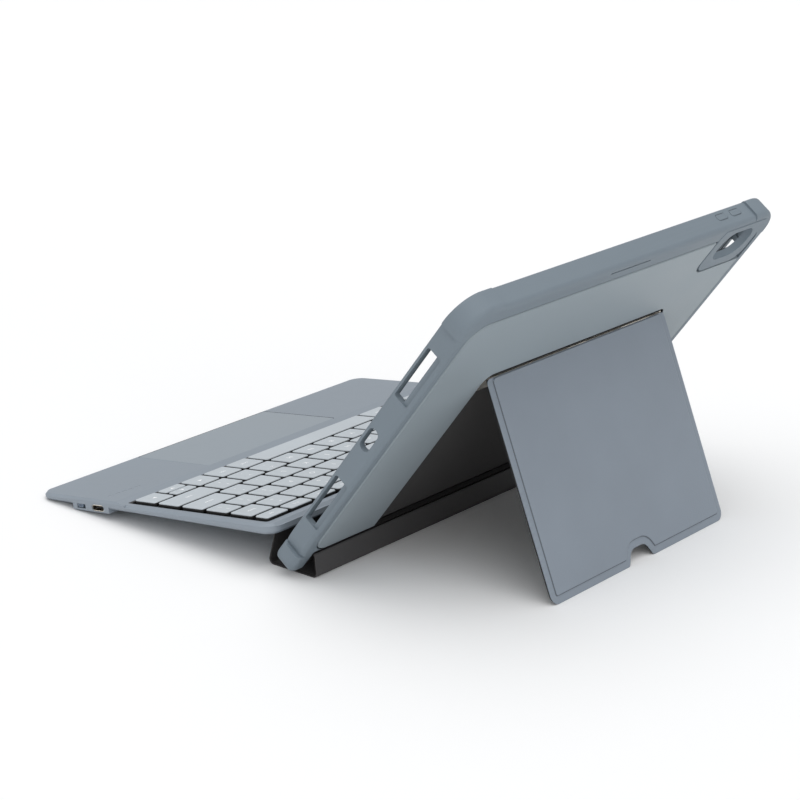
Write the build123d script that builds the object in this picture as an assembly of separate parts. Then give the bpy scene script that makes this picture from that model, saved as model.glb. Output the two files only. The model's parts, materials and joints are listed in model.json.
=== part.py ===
from build123d import *
import math
import os

# Tablet keyboard case, standing open: a rigid spine on the table joins the keyboard in front
# to the tablet tray behind, and a kickstand on the tray's back holds the tray up.
# Row frame: +X the user's right, +Y away from the user, +Z up, millimetres and degrees.
#
# Three working frames are laid flat and then placed:
#   tray frame      x, v up the tray from its lower edge, n from its back face towards the screen
#   keyboard frame  x, s from the front edge to the rear, m up from the palm rest's surface
#   spine section   Y and Z of the row frame, drawn on the plane X = 0

# ------------------------------------------------------------------ tray
TABLET_WIDTH = 247.6
TABLET_HEIGHT = 178.5
TABLET_FIT = 0.3

TRAY_WIDTH = 255.0
TRAY_HEIGHT = 186.0
TRAY_THICKNESS = 12.3
TRAY_CORNER = 17.0
TRAY_TILT = 53.05
TRAY_LIFT = 4.5

BUMPER_PROUD = 1.1
BUMPER_CORNER = 16.0
BUMPER_ALONG_TOP = 22.0
BUMPER_ALONG_SIDE = 16.0
FOOT_BUMPER_X = 118.6
FOOT_BUMPER_V = (-3.0, 10.3)
FOOT_BUMPER_CORNER = 6.5

POCKET_FLOOR = 3.7
POCKET_CEILING = 10.9
POCKET_CORNER = 13.0
LIP_OVERHANG = 2.1
LINING_THICKNESS = 0.9
LINING_INSET = 1.0

PANEL_BAND_SIDE = 6.0
PANEL_BAND_TOP = 9.0
PANEL_BAND_FOOT = 11.0
PANEL_CORNER = 12.0
PANEL_GAP = 0.8
PANEL_PROUD = 0.3
PANEL_FLANGE = 1.5
PANEL_FLANGE_N = 2.4
PANEL_BACK = 3.5

CAMERA_X = -98.0
CAMERA_V = 169.5
CAMERA_HOLE = (28.0, 20.0)
CAMERA_RIM = 6.5
CAMERA_SLIT = 0.7

# ------------------------------------------------------------------ kickstand
STAND_X = -2.0
STAND_HALF_WIDTH = 74.5
STAND_AXIS_V = 124.5
STAND_AXIS_N = 1.2
STAND_LENGTH = 113.1
STAND_TOP_GAP = 1.4
STAND_CORNER = 5.0
SKIN_N = (-0.3, 0.3)
CORE_N = (0.3, 1.5)
STAND_LINING_N = (1.5, 2.0)
NOTCH_HALF_WIDTH = 10.5
NOTCH_DEPTH = 7.5
NOTCH_MOUTH_RADIUS = 2.0
NOTCH_TOP_RADIUS = 5.5
RECESS_HALF_WIDTH = 76.0
RECESS_TOP_V = 127.5
RECESS_FLOOR = 2.7
RECESS_CORNER = 6.0

KNUCKLE_RADIUS = 1.25
HINGE_PIN_RADIUS = 0.6
HINGE_RUN = 0.04
KNUCKLE_LENGTHS = (5.0, 30.0, 30.0, 16.0, 30.0, 30.0, 5.0)
KNUCKLE_GAP = 0.25
LEAF_DROP = 13.0
RIVET_RADIUS = 1.2

# ------------------------------------------------------------------ keyboard
KEYBOARD_WIDTH = 258.0
KEYBOARD_DEPTH = 168.5
KEYBOARD_CORNER = 8.0
KEYBOARD_TILT = 8.1
KEYBOARD_FRONT_Y = -178.0
FRONT_THICKNESS = 3.4
WEDGE = 1.03
PARTING = -2.6
SHELL_WALL = 1.6
SHELL_FLOOR = 0.9
EDGE_BEVEL = 1.3

DECK_DROP = 1.1
PALM_END = 57.5
DECK_START = 65.3
KEYS_START = 66.0
KEYS_HALF_WIDTH = 124.0
ROW_PITCH = 17.0
FUNCTION_ROW = 10.8
KEY_GAP = 1.9
KEY_TOP = 0.5
KEY_HEIGHT = 1.9
KEY_TRAVEL = 1.2
CAP_WALL = 0.8
CAP_TOP = 0.9

TOUCHPAD_X = 6.5
TOUCHPAD_WIDTH = 102.0
TOUCHPAD_S = (1.6, 56.6)
TOUCHPAD_GAP = 0.3

BOSS_X = 107.0
BOSS_S = (26.0, 53.0)
BOSS_DEPTH = 3.0
SOCKET_S = 44.8
SOCKET_M = -4.5
SWITCH_S = 32.3
SWITCH_M = -4.5
SWITCH_TRAVEL = 2.2
KNOB_LENGTH = 3.6
KNOB_PLAY = 0.3

PAD_THICKNESS = 0.6
PAD_S = (4.0, 10.0)

# ------------------------------------------------------------------ spine
SPINE_HALF_WIDTH = 118.0
SPINE_SKIN = 0.6
SPINE_CORE = 0.4
SPINE_LINING = 0.4
SPINE_FOOT_Y = -22.8
SPINE_HEEL_Y = 7.95
BEAD_A = 0.7
BEAD_B = 0.6
FOLD_INSET = 8.0
FOLD_DROP = 0.9
SEAM_V = 10.0
SEAM_STANDOFF = 0.85

SPINE_THICKNESS = SPINE_SKIN + SPINE_CORE + SPINE_LINING

tray_plane = Plane(
    origin=(0, 0, TRAY_LIFT),
    x_dir=(1, 0, 0),
    z_dir=(0, -math.sin(math.radians(TRAY_TILT)), math.cos(math.radians(TRAY_TILT))),
)
bottom_tilt = math.radians(KEYBOARD_TILT - WEDGE)
front_lift = PAD_THICKNESS * math.cos(bottom_tilt) - PAD_S[0] * math.sin(bottom_tilt)
keyboard_plane = Plane(
    origin=(
        0,
        KEYBOARD_FRONT_Y,
        front_lift + FRONT_THICKNESS * math.cos(math.radians(KEYBOARD_TILT)),
    ),
    x_dir=(1, 0, 0),
    z_dir=(0, -math.sin(math.radians(KEYBOARD_TILT)), math.cos(math.radians(KEYBOARD_TILT))),
)


def slab(x0, x1, y0, y1, z0, z1, radius=0.0):
    """A plate between three pairs of limits, with its upright edges rounded."""
    outline = Rectangle(x1 - x0, y1 - y0)
    if radius:
        outline = RectangleRounded(x1 - x0, y1 - y0, radius)
    return Pos((x0 + x1) / 2, (y0 + y1) / 2, z0) * extrude(outline, z1 - z0)


def rod(radius, x0, x1, y=0.0, z=0.0):
    """A cylinder along X."""
    along_x = Plane(origin=(x0, y, z), z_dir=(1, 0, 0))
    return extrude(along_x * Circle(radius), x1 - x0)


def prism(points, x0, x1):
    """A polygon of (y, z) points run along X."""
    across = Plane(origin=(x0, 0, 0), x_dir=(0, 1, 0), z_dir=(1, 0, 0))
    return extrude(across * make_face(Polyline(*points, close=True)), x1 - x0)


def bottom_m(s):
    """Height of the keyboard's underside in the keyboard frame."""
    return -FRONT_THICKNESS - s * math.tan(math.radians(WEDGE))


# ------------------------------------------------------------------ tray parts
half_w = TRAY_WIDTH / 2
pocket_x = TABLET_WIDTH / 2 + TABLET_FIT
pocket_v = (TRAY_HEIGHT - TABLET_HEIGHT) / 2 - TABLET_FIT
panel_x = half_w - PANEL_BAND_SIDE
panel_v = (PANEL_BAND_FOOT, TRAY_HEIGHT - PANEL_BAND_TOP)

VOLUME_BUTTONS = {"volume_up_button": -93.0, "volume_down_button": -80.5}
BUTTON_LENGTH = 8.8
BUTTON_HEIGHT = 3.6
BUTTON_N = 7.8
BUTTON_GAP = 0.25
BUTTON_ROUND = 1.5
BUTTON_DEPTH = 3.0
BUTTON_PROUD = 0.3
POWER_BUTTON_V = 163.0

PORT_V = TRAY_HEIGHT / 2
PORT_N = 7.5
PORT_SIZE = (14.0, 6.0)
SPEAKER_OFFSET = 45.8
SPEAKER_LENGTH = 33.0
SPEAKER_N = (4.75, 10.55)
SCOOP_N = 1.9
SCOOP_DEPTH = 1.0
SLIT_X = (-11.0, 22.0)
SLIT_V = 182.6
CASE_MAGNET_X = (-96, -64, 64, 96)
CASE_MAGNET_V = (1.0, 3.0)
CASE_MAGNET_N = (5.0, 9.5)


def soft_slab(x0, x1, v0, v1, corner, back_radius, front_radius):
    """A block of the tray's full thickness, with its back and front edges rounded."""
    block = slab(x0, x1, v0, v1, 0.0, TRAY_THICKNESS, corner)
    block = fillet(block.edges().group_by(Axis.Z)[0], back_radius)
    return fillet(block.edges().group_by(Axis.Z)[-1], front_radius)


def button_block(wall, gap):
    """A round-ended button sunk in a wall, or its window, grown by a gap all round."""
    outline = RectangleRounded(BUTTON_LENGTH + 2 * gap, BUTTON_HEIGHT + 2 * gap, BUTTON_ROUND + gap)
    reach = 2.0 if gap else 0.0
    return extrude(wall.offset(-BUTTON_DEPTH - reach) * outline, BUTTON_DEPTH + BUTTON_PROUD + 2 * reach)


def volume_block(x, gap):
    """A volume button in the top wall."""
    return button_block(Plane(origin=(x, TRAY_HEIGHT, BUTTON_N), x_dir=(1, 0, 0), z_dir=(0, 1, 0)), gap)


def power_block(gap):
    """The power button in the left wall."""
    return button_block(Plane(origin=(-half_w, POWER_BUTTON_V, BUTTON_N), x_dir=(0, 1, 0), z_dir=(-1, 0, 0)), gap)


def side_slot(v, length, n0, n1, depth, side, radius):
    """A rounded slot cut inwards from one side wall, to a depth."""
    wall = Plane(origin=(side * (half_w + 1), v, (n0 + n1) / 2), x_dir=(0, 1, 0), z_dir=(-side, 0, 0))
    return extrude(wall * RectangleRounded(length, n1 - n0, radius), depth + 1)


def case_magnet(x, v_high):
    """One magnet in the tray's lower wall, or its pocket where v_high runs on into the tablet's space."""
    return slab(x - 6, x + 6, CASE_MAGNET_V[0], v_high, *CASE_MAGNET_N)


def camera_block(grow, n0, n1, radius):
    return slab(
        CAMERA_X - CAMERA_HOLE[0] / 2 - grow,
        CAMERA_X + CAMERA_HOLE[0] / 2 + grow,
        CAMERA_V - CAMERA_HOLE[1] / 2 - grow,
        CAMERA_V + CAMERA_HOLE[1] / 2 + grow,
        n0,
        n1,
        radius,
    )


def make_bumper_frame():
    body = soft_slab(-half_w, half_w, 0.0, TRAY_HEIGHT, TRAY_CORNER, 2.6, 1.4)
    wide = half_w + BUMPER_PROUD
    top_bumper = soft_slab(-wide, wide, 0.0, TRAY_HEIGHT + BUMPER_PROUD, BUMPER_CORNER, 3.0, 1.8)
    foot_bumper = soft_slab(-wide, wide, FOOT_BUMPER_V[0], TRAY_HEIGHT, FOOT_BUMPER_CORNER, 3.0, 2.6)
    for side in (-1, 1):
        x0, x1 = sorted((side * (half_w - BUMPER_ALONG_TOP), side * (wide + 1)))
        top = slab(x0, x1, TRAY_HEIGHT - BUMPER_ALONG_SIDE, TRAY_HEIGHT + 2, -1, TRAY_THICKNESS + 1)
        x0, x1 = sorted((side * FOOT_BUMPER_X, side * (wide + 1)))
        foot = slab(x0, x1, FOOT_BUMPER_V[0] - 1, FOOT_BUMPER_V[1], -1, TRAY_THICKNESS + 1)
        body = body + (top_bumper & top) + (foot_bumper & foot)
    body = body - slab(
        -pocket_x, pocket_x, pocket_v, TRAY_HEIGHT - pocket_v, POCKET_FLOOR, POCKET_CEILING, POCKET_CORNER
    )
    lip_x = pocket_x - LIP_OVERHANG
    lip_v = pocket_v + LIP_OVERHANG
    body = body - slab(
        -lip_x, lip_x, lip_v, TRAY_HEIGHT - lip_v, POCKET_CEILING - 1, TRAY_THICKNESS + 1,
        POCKET_CORNER - LIP_OVERHANG,
    )
    back = slab(-panel_x, panel_x, *panel_v, -1, POCKET_FLOOR + 1, PANEL_CORNER)
    flange = slab(
        -panel_x - PANEL_FLANGE,
        panel_x + PANEL_FLANGE,
        panel_v[0] - PANEL_FLANGE,
        panel_v[1] + PANEL_FLANGE,
        PANEL_FLANGE_N - 0.1,
        POCKET_FLOOR + 1,
        PANEL_CORNER + PANEL_FLANGE,
    )
    rim = camera_block(CAMERA_RIM, -PANEL_PROUD, POCKET_FLOOR, 8.0)
    rim = fillet(rim.edges().group_by(Axis.Z)[0], 0.6)
    rim = rim & slab(-half_w + 3, half_w, 0, TRAY_HEIGHT - 3, -1, POCKET_FLOOR)
    body = (body - back - flange) + rim
    hole = camera_block(0.0, -1, POCKET_FLOOR + 1, 9.0)
    body = body - hole
    for side in (-1, 1):
        for v in (PORT_V - SPEAKER_OFFSET, PORT_V + SPEAKER_OFFSET):
            body = body - side_slot(v, SPEAKER_LENGTH, *SPEAKER_N, 8.0, side, 1.2)
            body = body - side_slot(
                v, SPEAKER_LENGTH, SCOOP_N, SPEAKER_N[1], SCOOP_DEPTH, side, 1.2
            )
    port = (PORT_N - PORT_SIZE[1] / 2, PORT_N + PORT_SIZE[1] / 2)
    body = body - side_slot(PORT_V, PORT_SIZE[0], *port, 8.0, 1, 2.9)
    for x in VOLUME_BUTTONS.values():
        body = body - volume_block(x, BUTTON_GAP)
    body = body - power_block(BUTTON_GAP)
    for x in CASE_MAGNET_X:
        body = body - case_magnet(x, pocket_v + 1)
    return body - slab(*SLIT_X, SLIT_V - 0.4, SLIT_V + 0.4, -1, 1.2)


def recess_block(inset, n0, n1):
    """The kickstand's recess, open at the tray's lower edge."""
    return slab(
        STAND_X - RECESS_HALF_WIDTH + inset,
        STAND_X + RECESS_HALF_WIDTH - inset,
        panel_v[0] - 20,
        RECESS_TOP_V - inset,
        n0,
        n1,
        RECESS_CORNER,
    )


def rivet_places(v):
    return [(STAND_X + x, v) for x in (-60, -36, -12, 12, 36, 60)]


def make_back_panel():
    gap = PANEL_GAP
    face = slab(
        -panel_x + gap, panel_x - gap, panel_v[0] + gap, panel_v[1] - gap,
        -PANEL_PROUD, PANEL_BACK, PANEL_CORNER - gap,
    )
    face = chamfer(face.edges().group_by(Axis.Z)[0], 0.5)
    reach = PANEL_FLANGE - 0.1
    flange = slab(
        -panel_x - reach, panel_x + reach, panel_v[0] - reach, panel_v[1] + reach,
        PANEL_FLANGE_N, PANEL_BACK, PANEL_CORNER + reach,
    )
    panel = face + flange
    panel = panel - recess_block(0.0, -2, RECESS_FLOOR)
    lobe = camera_block(CAMERA_RIM + gap, -2, PANEL_BACK + 1, 8.0 + gap)
    panel = panel - lobe - Pos(CAMERA_SLIT, 0, 0) * lobe
    corner = slab(-half_w, CAMERA_X, CAMERA_V, TRAY_HEIGHT, -2, PANEL_BACK + 1)
    side_gap = slab(
        -half_w, CAMERA_X, CAMERA_V - CAMERA_HOLE[1] / 2 - CAMERA_RIM - gap, TRAY_HEIGHT,
        -2, PANEL_BACK + 1, 8.0,
    )
    panel = panel - corner - side_gap
    top_gap = slab(
        CAMERA_X, CAMERA_X + CAMERA_HOLE[0] / 2 + CAMERA_RIM + gap + CAMERA_SLIT, CAMERA_V, TRAY_HEIGHT,
        -2, PANEL_BACK + 1,
    )
    panel = panel - top_gap
    for x, v in rivet_places(STAND_AXIS_V - 8):
        panel = panel - Pos(x, v, 0) * extrude(Circle(RIVET_RADIUS), 9)
    return panel


def make_recess_lining():
    lining = recess_block(0.5, RECESS_FLOOR - 0.25, RECESS_FLOOR)
    lining = lining & slab(-half_w, half_w, panel_v[0] + 1.0, STAND_AXIS_V - LEAF_DROP - 0.5, 0, 9)
    return lining


def make_tray_lining():
    inset = LIP_OVERHANG + LINING_INSET
    x1 = pocket_x - inset
    v0 = pocket_v + inset
    lining = slab(-x1, x1, v0, TRAY_HEIGHT - v0, POCKET_FLOOR, POCKET_FLOOR + LINING_THICKNESS, 10.0)
    return lining - camera_block(0.5, 0, 9, 9.0)


def make_case_magnets():
    """Magnets in the tray's lower wall that hold the keyboard shut."""
    return Compound(children=[case_magnet(x, CASE_MAGNET_V[1]) for x in CASE_MAGNET_X])


# ------------------------------------------------------------------ kickstand parts
def stand_outline(inset):
    """The kickstand's outline lying shut in the tray frame, with its finger notch."""
    low = STAND_AXIS_V - STAND_LENGTH + inset
    high = STAND_AXIS_V - STAND_TOP_GAP
    half = STAND_HALF_WIDTH - inset
    notch = NOTCH_HALF_WIDTH + inset
    points = [
        (-half, high),
        (-half, low),
        (-notch, low),
        (-notch + 4.5, low + NOTCH_DEPTH),
        (notch - 4.5, low + NOTCH_DEPTH),
        (notch, low),
        (half, low),
        (half, high),
    ]
    face = make_face(Polyline(*points, close=True))
    low_corners = [p for p in face.vertices() if abs(p.X) > half - 1 and p.Y < low + 1]
    face = fillet(low_corners, STAND_CORNER)
    face = fillet([p for p in face.vertices() if p.Y > high - 1], 1.5)
    notch_points = [p for p in face.vertices() if abs(p.X) < notch + 0.01 and p.Y < high - 1]
    face = fillet([p for p in notch_points if p.Y < low + 1], NOTCH_MOUTH_RADIUS)
    notch_points = [p for p in face.vertices() if abs(p.X) < notch and low + NOTCH_DEPTH - 1 < p.Y < high - 1]
    face = fillet(notch_points, NOTCH_TOP_RADIUS)
    return Pos(STAND_X, 0) * face


def stand_layer(inset, n_range):
    return Pos(0, 0, n_range[0]) * extrude(stand_outline(inset), n_range[1] - n_range[0])


def make_kickstand_core():
    core = stand_layer(0.6, CORE_N)
    leaf_v = STAND_AXIS_V - LEAF_DROP - 0.2
    leaf_seat = slab(
        STAND_X - 100, STAND_X + 100, leaf_v, STAND_AXIS_V, STAND_AXIS_N - 0.3, CORE_N[1] + 1
    )
    core = core - leaf_seat
    for x, v in rivet_places(STAND_AXIS_V - 7):
        core = core - Pos(x, v, 0) * extrude(Circle(RIVET_RADIUS), 9)
    for magnet in stand_magnet_slabs():
        core = core - magnet
    return core


def make_kickstand_skin():
    skin = stand_layer(0.0, SKIN_N)
    return chamfer(skin.edges().group_by(Axis.Z)[0], 0.25)


def make_kickstand_lining():
    lining = stand_layer(1.2, STAND_LINING_N)
    return lining & slab(-half_w, half_w, 0, STAND_AXIS_V - LEAF_DROP - 0.5, 0, 9)


def stand_magnet_slabs():
    v = STAND_AXIS_V - STAND_LENGTH + 14
    return [slab(STAND_X + x - 8, STAND_X + x + 8, v, v + 5, 0.7, CORE_N[1]) for x in (-52, 52)]


def knuckle_spans(first):
    """Every second knuckle along the hinge, starting with the first or the second."""
    total = sum(KNUCKLE_LENGTHS)
    start = STAND_X - total / 2
    spans = []
    for index, length in enumerate(KNUCKLE_LENGTHS):
        if index % 2 == first:
            spans.append((start + KNUCKLE_GAP / 2, start + length - KNUCKLE_GAP / 2))
        start += length
    return spans


def make_hinge_leaf(first, n0, n1, v_high):
    """A thin leaf with rolled knuckles round the pin."""
    total = sum(KNUCKLE_LENGTHS)
    v_low = STAND_AXIS_V - LEAF_DROP
    leaf = slab(STAND_X - total / 2, STAND_X + total / 2, v_low, v_high, n0, n1)
    for x0, x1 in knuckle_spans(first):
        leaf = leaf + slab(x0, x1, v_high - 0.5, STAND_AXIS_V, n0, n1)
        leaf = leaf + rod(KNUCKLE_RADIUS, x0, x1, STAND_AXIS_V, STAND_AXIS_N)
    bore = HINGE_PIN_RADIUS + (HINGE_RUN if first == 0 else 0.0)
    return leaf - rod(bore, -half_w, half_w, STAND_AXIS_V, STAND_AXIS_N)


def make_moving_leaf():
    half_leaf = 0.3
    leaf = make_hinge_leaf(0, STAND_AXIS_N - half_leaf, STAND_AXIS_N + half_leaf, STAND_AXIS_V - STAND_TOP_GAP)
    for x, v in rivet_places(STAND_AXIS_V - 7):
        leaf = leaf - Pos(x, v, 0) * extrude(Circle(RIVET_RADIUS), 9)
    return leaf


def make_fixed_leaf():
    leaf = make_hinge_leaf(1, RECESS_FLOOR - 0.5, RECESS_FLOOR, STAND_AXIS_V - STAND_TOP_GAP)
    for x, v in rivet_places(STAND_AXIS_V - 8):
        leaf = leaf - Pos(x, v, 0) * extrude(Circle(RIVET_RADIUS), 9)
    return leaf


def make_rivets(v, n0, n1):
    places = rivet_places(v)
    return Compound(children=[Pos(x, v, n0) * extrude(Circle(RIVET_RADIUS), n1 - n0) for x, v in places])


def make_hinge_pin():
    total = sum(KNUCKLE_LENGTHS)
    return rod(HINGE_PIN_RADIUS, STAND_X - total / 2, STAND_X + total / 2, STAND_AXIS_V, STAND_AXIS_N)


# ------------------------------------------------------------------ keyboard parts
key_width = KEYBOARD_WIDTH / 2
window_s = (KEYS_START - 0.4, KEYS_START + 5 * ROW_PITCH + FUNCTION_ROW + 0.2)
window_x = KEYS_HALF_WIDTH + 0.6
PLATE_TOP = KEY_TOP - KEY_HEIGHT - KEY_TRAVEL - 0.2
PLATE_THICKNESS = 0.4
KEYBOARD_MAGNET_X = (-118, -84, 84, 114)
KEYBOARD_MAGNET_S = (58.6, 60.6)


def bevelled_deck(top):
    deck = slab(-key_width, key_width, 0, KEYBOARD_DEPTH, PARTING, top, KEYBOARD_CORNER)
    return chamfer(deck.edges().group_by(Axis.Z)[-1], EDGE_BEVEL)


def rear_bevel(top):
    """The wide bevel that lets the rear edge swing past the tablet."""
    s = KEYBOARD_DEPTH
    return prism([(s - 2.4, top), (s + 1, top - 3.2), (s + 1, top + 1), (s - 2.4, top + 1)], -200, 200)


def make_keyboard_top_cover():
    palm_space = prism(
        [(-1, PARTING), (-1, 1), (PALM_END, 1), (PALM_END, 0), (DECK_START, -DECK_DROP), (DECK_START, PARTING)],
        -key_width,
        key_width,
    )
    cover = bevelled_deck(-DECK_DROP) + (bevelled_deck(0.0) & palm_space)
    cover = cover - rear_bevel(-DECK_DROP)
    inner_x = key_width - SHELL_WALL
    cover = cover - slab(
        -inner_x, inner_x, SHELL_WALL, PALM_END, PARTING, -1.2, KEYBOARD_CORNER - SHELL_WALL
    )
    cover = cover - slab(-window_x, window_x, *window_s, PARTING - 1, 1, 2.0)
    x0 = TOUCHPAD_X - TOUCHPAD_WIDTH / 2 - TOUCHPAD_GAP
    x1 = TOUCHPAD_X + TOUCHPAD_WIDTH / 2 + TOUCHPAD_GAP
    s0 = TOUCHPAD_S[0] - TOUCHPAD_GAP
    s1 = TOUCHPAD_S[1] + TOUCHPAD_GAP
    cover = cover - slab(x0, x1, s0, s1, PARTING - 1, 1, 1.5)
    for x, s in indicator_places():
        cover = cover - Pos(x, s, -2) * extrude(SlotOverall(3.2, 1.4), 4)
    for x in KEYBOARD_MAGNET_X:
        cover = cover - keyboard_magnet(x, PARTING - 1)
    return cover


def keyboard_magnet(x, low):
    """One magnet in the top cover, or its pocket where low reaches past the parting face."""
    return slab(x - 6, x + 6, *KEYBOARD_MAGNET_S, low, -1.3)


def indicator_places():
    return [(120.5 - 4.6 * index, 46.5 + 0.3 * index) for index in range(5)]


def make_indicator_lights():
    lights = [Pos(x, s, -1.2) * extrude(SlotOverall(3.1, 1.3), 1.1) for x, s in indicator_places()]
    return Compound(children=lights)


def under_slab(inset, rise, bevel):
    """The wedge-shaped lower half, seen from its sloping underside."""
    block = slab(
        -key_width + inset, key_width - inset, inset, KEYBOARD_DEPTH - inset, rise, 12.0,
        KEYBOARD_CORNER - inset,
    )
    if bevel:
        block = chamfer(block.edges().group_by(Axis.Z)[0], bevel)
    return Pos(0, 0, -FRONT_THICKNESS) * Rot(-WEDGE, 0, 0) * block


def make_keyboard_bottom_cover():
    below = slab(-200, 200, -10, 300, -30, PARTING)
    shell = under_slab(0.0, 0.0, 1.2) & below
    boss_floor = bottom_m((BOSS_S[0] + BOSS_S[1]) / 2) - BOSS_DEPTH
    boss = slab(BOSS_X, key_width, *BOSS_S, boss_floor, PARTING, 4.0)
    boss = boss + slab(key_width - 8, key_width, *BOSS_S, boss_floor, PARTING)
    boss = chamfer(boss.edges().group_by(Axis.Z)[0], 0.9)
    shell = shell + boss
    shell = shell - under_slab(SHELL_WALL, SHELL_FLOOR, 0.0)
    shell = shell - slab(
        BOSS_X + 1.2, key_width - 1.4, BOSS_S[0] + 1.2, BOSS_S[1] - 1.2, boss_floor + 0.9, PARTING + 1, 2.8
    )
    shell = shell - socket_block(4.6, 1.75, key_width - 4, key_width + 2)
    shell = shell - slab(
        key_width - 3, key_width + 2,
        *switch_slot(KNOB_PLAY), SWITCH_M - 1.2, SWITCH_M + 1.2,
    )
    return shell


def socket_block(half_length, half_height, x0, x1):
    """A round-ended block along X at the charging socket's place."""
    end = Plane(origin=(x0, SOCKET_S, SOCKET_M), x_dir=(0, 1, 0), z_dir=(1, 0, 0))
    return extrude(end * RectangleRounded(2 * half_length, 2 * half_height, half_height - 0.05), x1 - x0)


def make_socket_shell():
    shell = socket_block(4.47, 1.6, key_width - 8.0, key_width - 0.4)
    return shell - socket_block(4.17, 1.3, key_width - 7.6, key_width + 1)


def make_socket_tongue():
    return slab(
        key_width - 7.6, key_width - 1.5, SOCKET_S - 3.3, SOCKET_S + 3.3, SOCKET_M - 0.35, SOCKET_M + 0.35
    )


def make_switch_body():
    return slab(key_width - 6.0, key_width - 3.0, SWITCH_S - 4.0, SWITCH_S + 4.0, SWITCH_M - 1.3, SWITCH_M + 1.3)


def switch_slot(play):
    """The stretch of the side wall that the switch's knob slides along."""
    reach = (KNOB_LENGTH + SWITCH_TRAVEL) / 2 + play
    return SWITCH_S - reach, SWITCH_S + reach


def make_switch_knob():
    s0 = switch_slot(0.0)[0]
    knob = slab(key_width - 2.9, key_width - 0.5, s0, s0 + KNOB_LENGTH, SWITCH_M - 0.95, SWITCH_M + 0.95)
    rib = slab(key_width - 0.6, key_width - 0.1, s0 + 1.3, s0 + 2.3, SWITCH_M - 0.9, SWITCH_M + 0.9)
    return knob + rib


def make_touchpad():
    half = TOUCHPAD_WIDTH / 2
    return slab(TOUCHPAD_X - half, TOUCHPAD_X + half, *TOUCHPAD_S, -0.9, -0.03, 1.2)


def make_touchpad_board():
    return slab(TOUCHPAD_X - 46, TOUCHPAD_X + 46, 8, 52, -2.5, -1.9)


def make_battery():
    return slab(-118, -50, 12, 52, -2.6, -1.35, 1.0)


def make_main_board():
    return slab(64, 120, 12, 54, -2.4, -1.7)


def make_support_plate():
    return slab(
        -window_x - 1.6, window_x + 1.6, window_s[0] - 0.8, window_s[1] + 0.8,
        PLATE_TOP - PLATE_THICKNESS, PLATE_TOP, 2.0,
    )


def make_keyboard_magnets():
    return Compound(children=[keyboard_magnet(x, -2.4) for x in KEYBOARD_MAGNET_X])


def make_rubber_feet():
    feet = []
    for x0, x1 in ((-112, -62), (62, 112)):
        pad = slab(x0, x1, *PAD_S, -PAD_THICKNESS, 0.0, 2.8)
        feet.append(Pos(0, 0, -FRONT_THICKNESS) * Rot(-WEDGE, 0, 0) * pad)
    return Compound(children=feet)


# Each row runs from the user's left to the right, as (node, width in key units).
KEY_ROWS = [
    ("modifier_keys", [1.0, 1.0, 1.0, 1.2, ("space_bar", 5.44), 1.0, 1.0, ("left_arrow_key", 1.0),
                       ("up_down_arrows", 1.0), ("right_arrow_key", 0.95)]),
    ("lower_letter_keys", [("left_shift_key", 2.64)] + [1.0] * 10 + [("right_shift_key", 1.95)]),
    ("home_letter_keys", [("caps_lock_key", 1.99)] + [1.0] * 11 + [("enter_key", 1.6)]),
    ("upper_letter_keys", [("tab_key", 1.79)] + [1.0] * 12 + [0.8]),
    ("number_keys", [1.04] * 13 + [("backspace_key", 1.07)]),
    ("function_keys", [("escape_key", 1.0)] + [1.0] * 13),
]


def keycap(width, depth):
    """A hollow cap with a bevelled crown, standing at its resting height."""
    low = KEY_TOP - KEY_HEIGHT
    cap = slab(-width / 2, width / 2, -depth / 2, depth / 2, low, KEY_TOP, 1.1)
    cap = chamfer(cap.edges().group_by(Axis.Z)[-1], 0.35)
    w = width / 2 - CAP_WALL
    d = depth / 2 - CAP_WALL
    return cap - slab(-w, w, -d, d, low, KEY_TOP - CAP_TOP)


def key_layout():
    """Every key as (node, x, s, width, depth)."""
    keys = []
    for row, (row_node, items) in enumerate(KEY_ROWS):
        depth = FUNCTION_ROW if row == 5 else ROW_PITCH
        s = KEYS_START + row * ROW_PITCH + depth / 2
        units = [item[1] if isinstance(item, tuple) else item for item in items]
        scale = 2 * KEYS_HALF_WIDTH / sum(units)
        x = -KEYS_HALF_WIDTH
        for item, unit in zip(items, units):
            node = item[0] if isinstance(item, tuple) else row_node
            width = unit * scale
            centre = x + width / 2
            x += width
            if node == "up_down_arrows":
                quarter = (ROW_PITCH - KEY_GAP) / 4
                for name, side in (("down_arrow_key", -1), ("up_arrow_key", 1)):
                    keys.append((name, centre, s + side * (quarter + 0.2), width - KEY_GAP, 2 * quarter - 0.6))
            else:
                keys.append((node, centre, s, width - KEY_GAP, depth - KEY_GAP))
    return keys


def make_keys():
    nodes = {}
    for node, x, s, width, depth in key_layout():
        nodes.setdefault(node, []).append(Pos(x, s, 0) * keycap(width, depth))
    return {node: caps[0] if len(caps) == 1 else Compound(children=caps) for node, caps in nodes.items()}


def make_membrane():
    """The switch sheet under the plate, with one rubber dome rising through it for each key."""
    low = PLATE_TOP - PLATE_THICKNESS
    return slab(-window_x, window_x, *window_s, low - 0.25, low, 2.0)


def make_key_domes():
    domes = []
    for _, x, s, _, _ in key_layout():
        domes.append(Pos(x, s, PLATE_TOP) * extrude(Circle(1.6), 0.9, taper=25))
    return Compound(children=domes)


def make_key_scissors():
    """The folding frame that keeps each cap level, drawn folded flat."""
    frames = []
    for _, x, s, width, depth in key_layout():
        w = min(width, 12.0) / 2 - 1.6
        d = depth / 2 - 1.3
        outer = slab(x - w, x + w, s - d, s + d, PLATE_TOP, PLATE_TOP + 0.5)
        if d < 2.7:
            continue
        frames.append(outer - slab(x - w + 0.8, x + w - 0.8, s - d + 0.8, s + d - 0.8, -9, 9))
    return Compound(children=frames)


# ------------------------------------------------------------------ spine parts
def to_row(plane, x, y, z):
    """A point of a working frame in the row frame, before the final shift."""
    return plane.from_local_coords(Vector(x, y, z))


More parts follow.
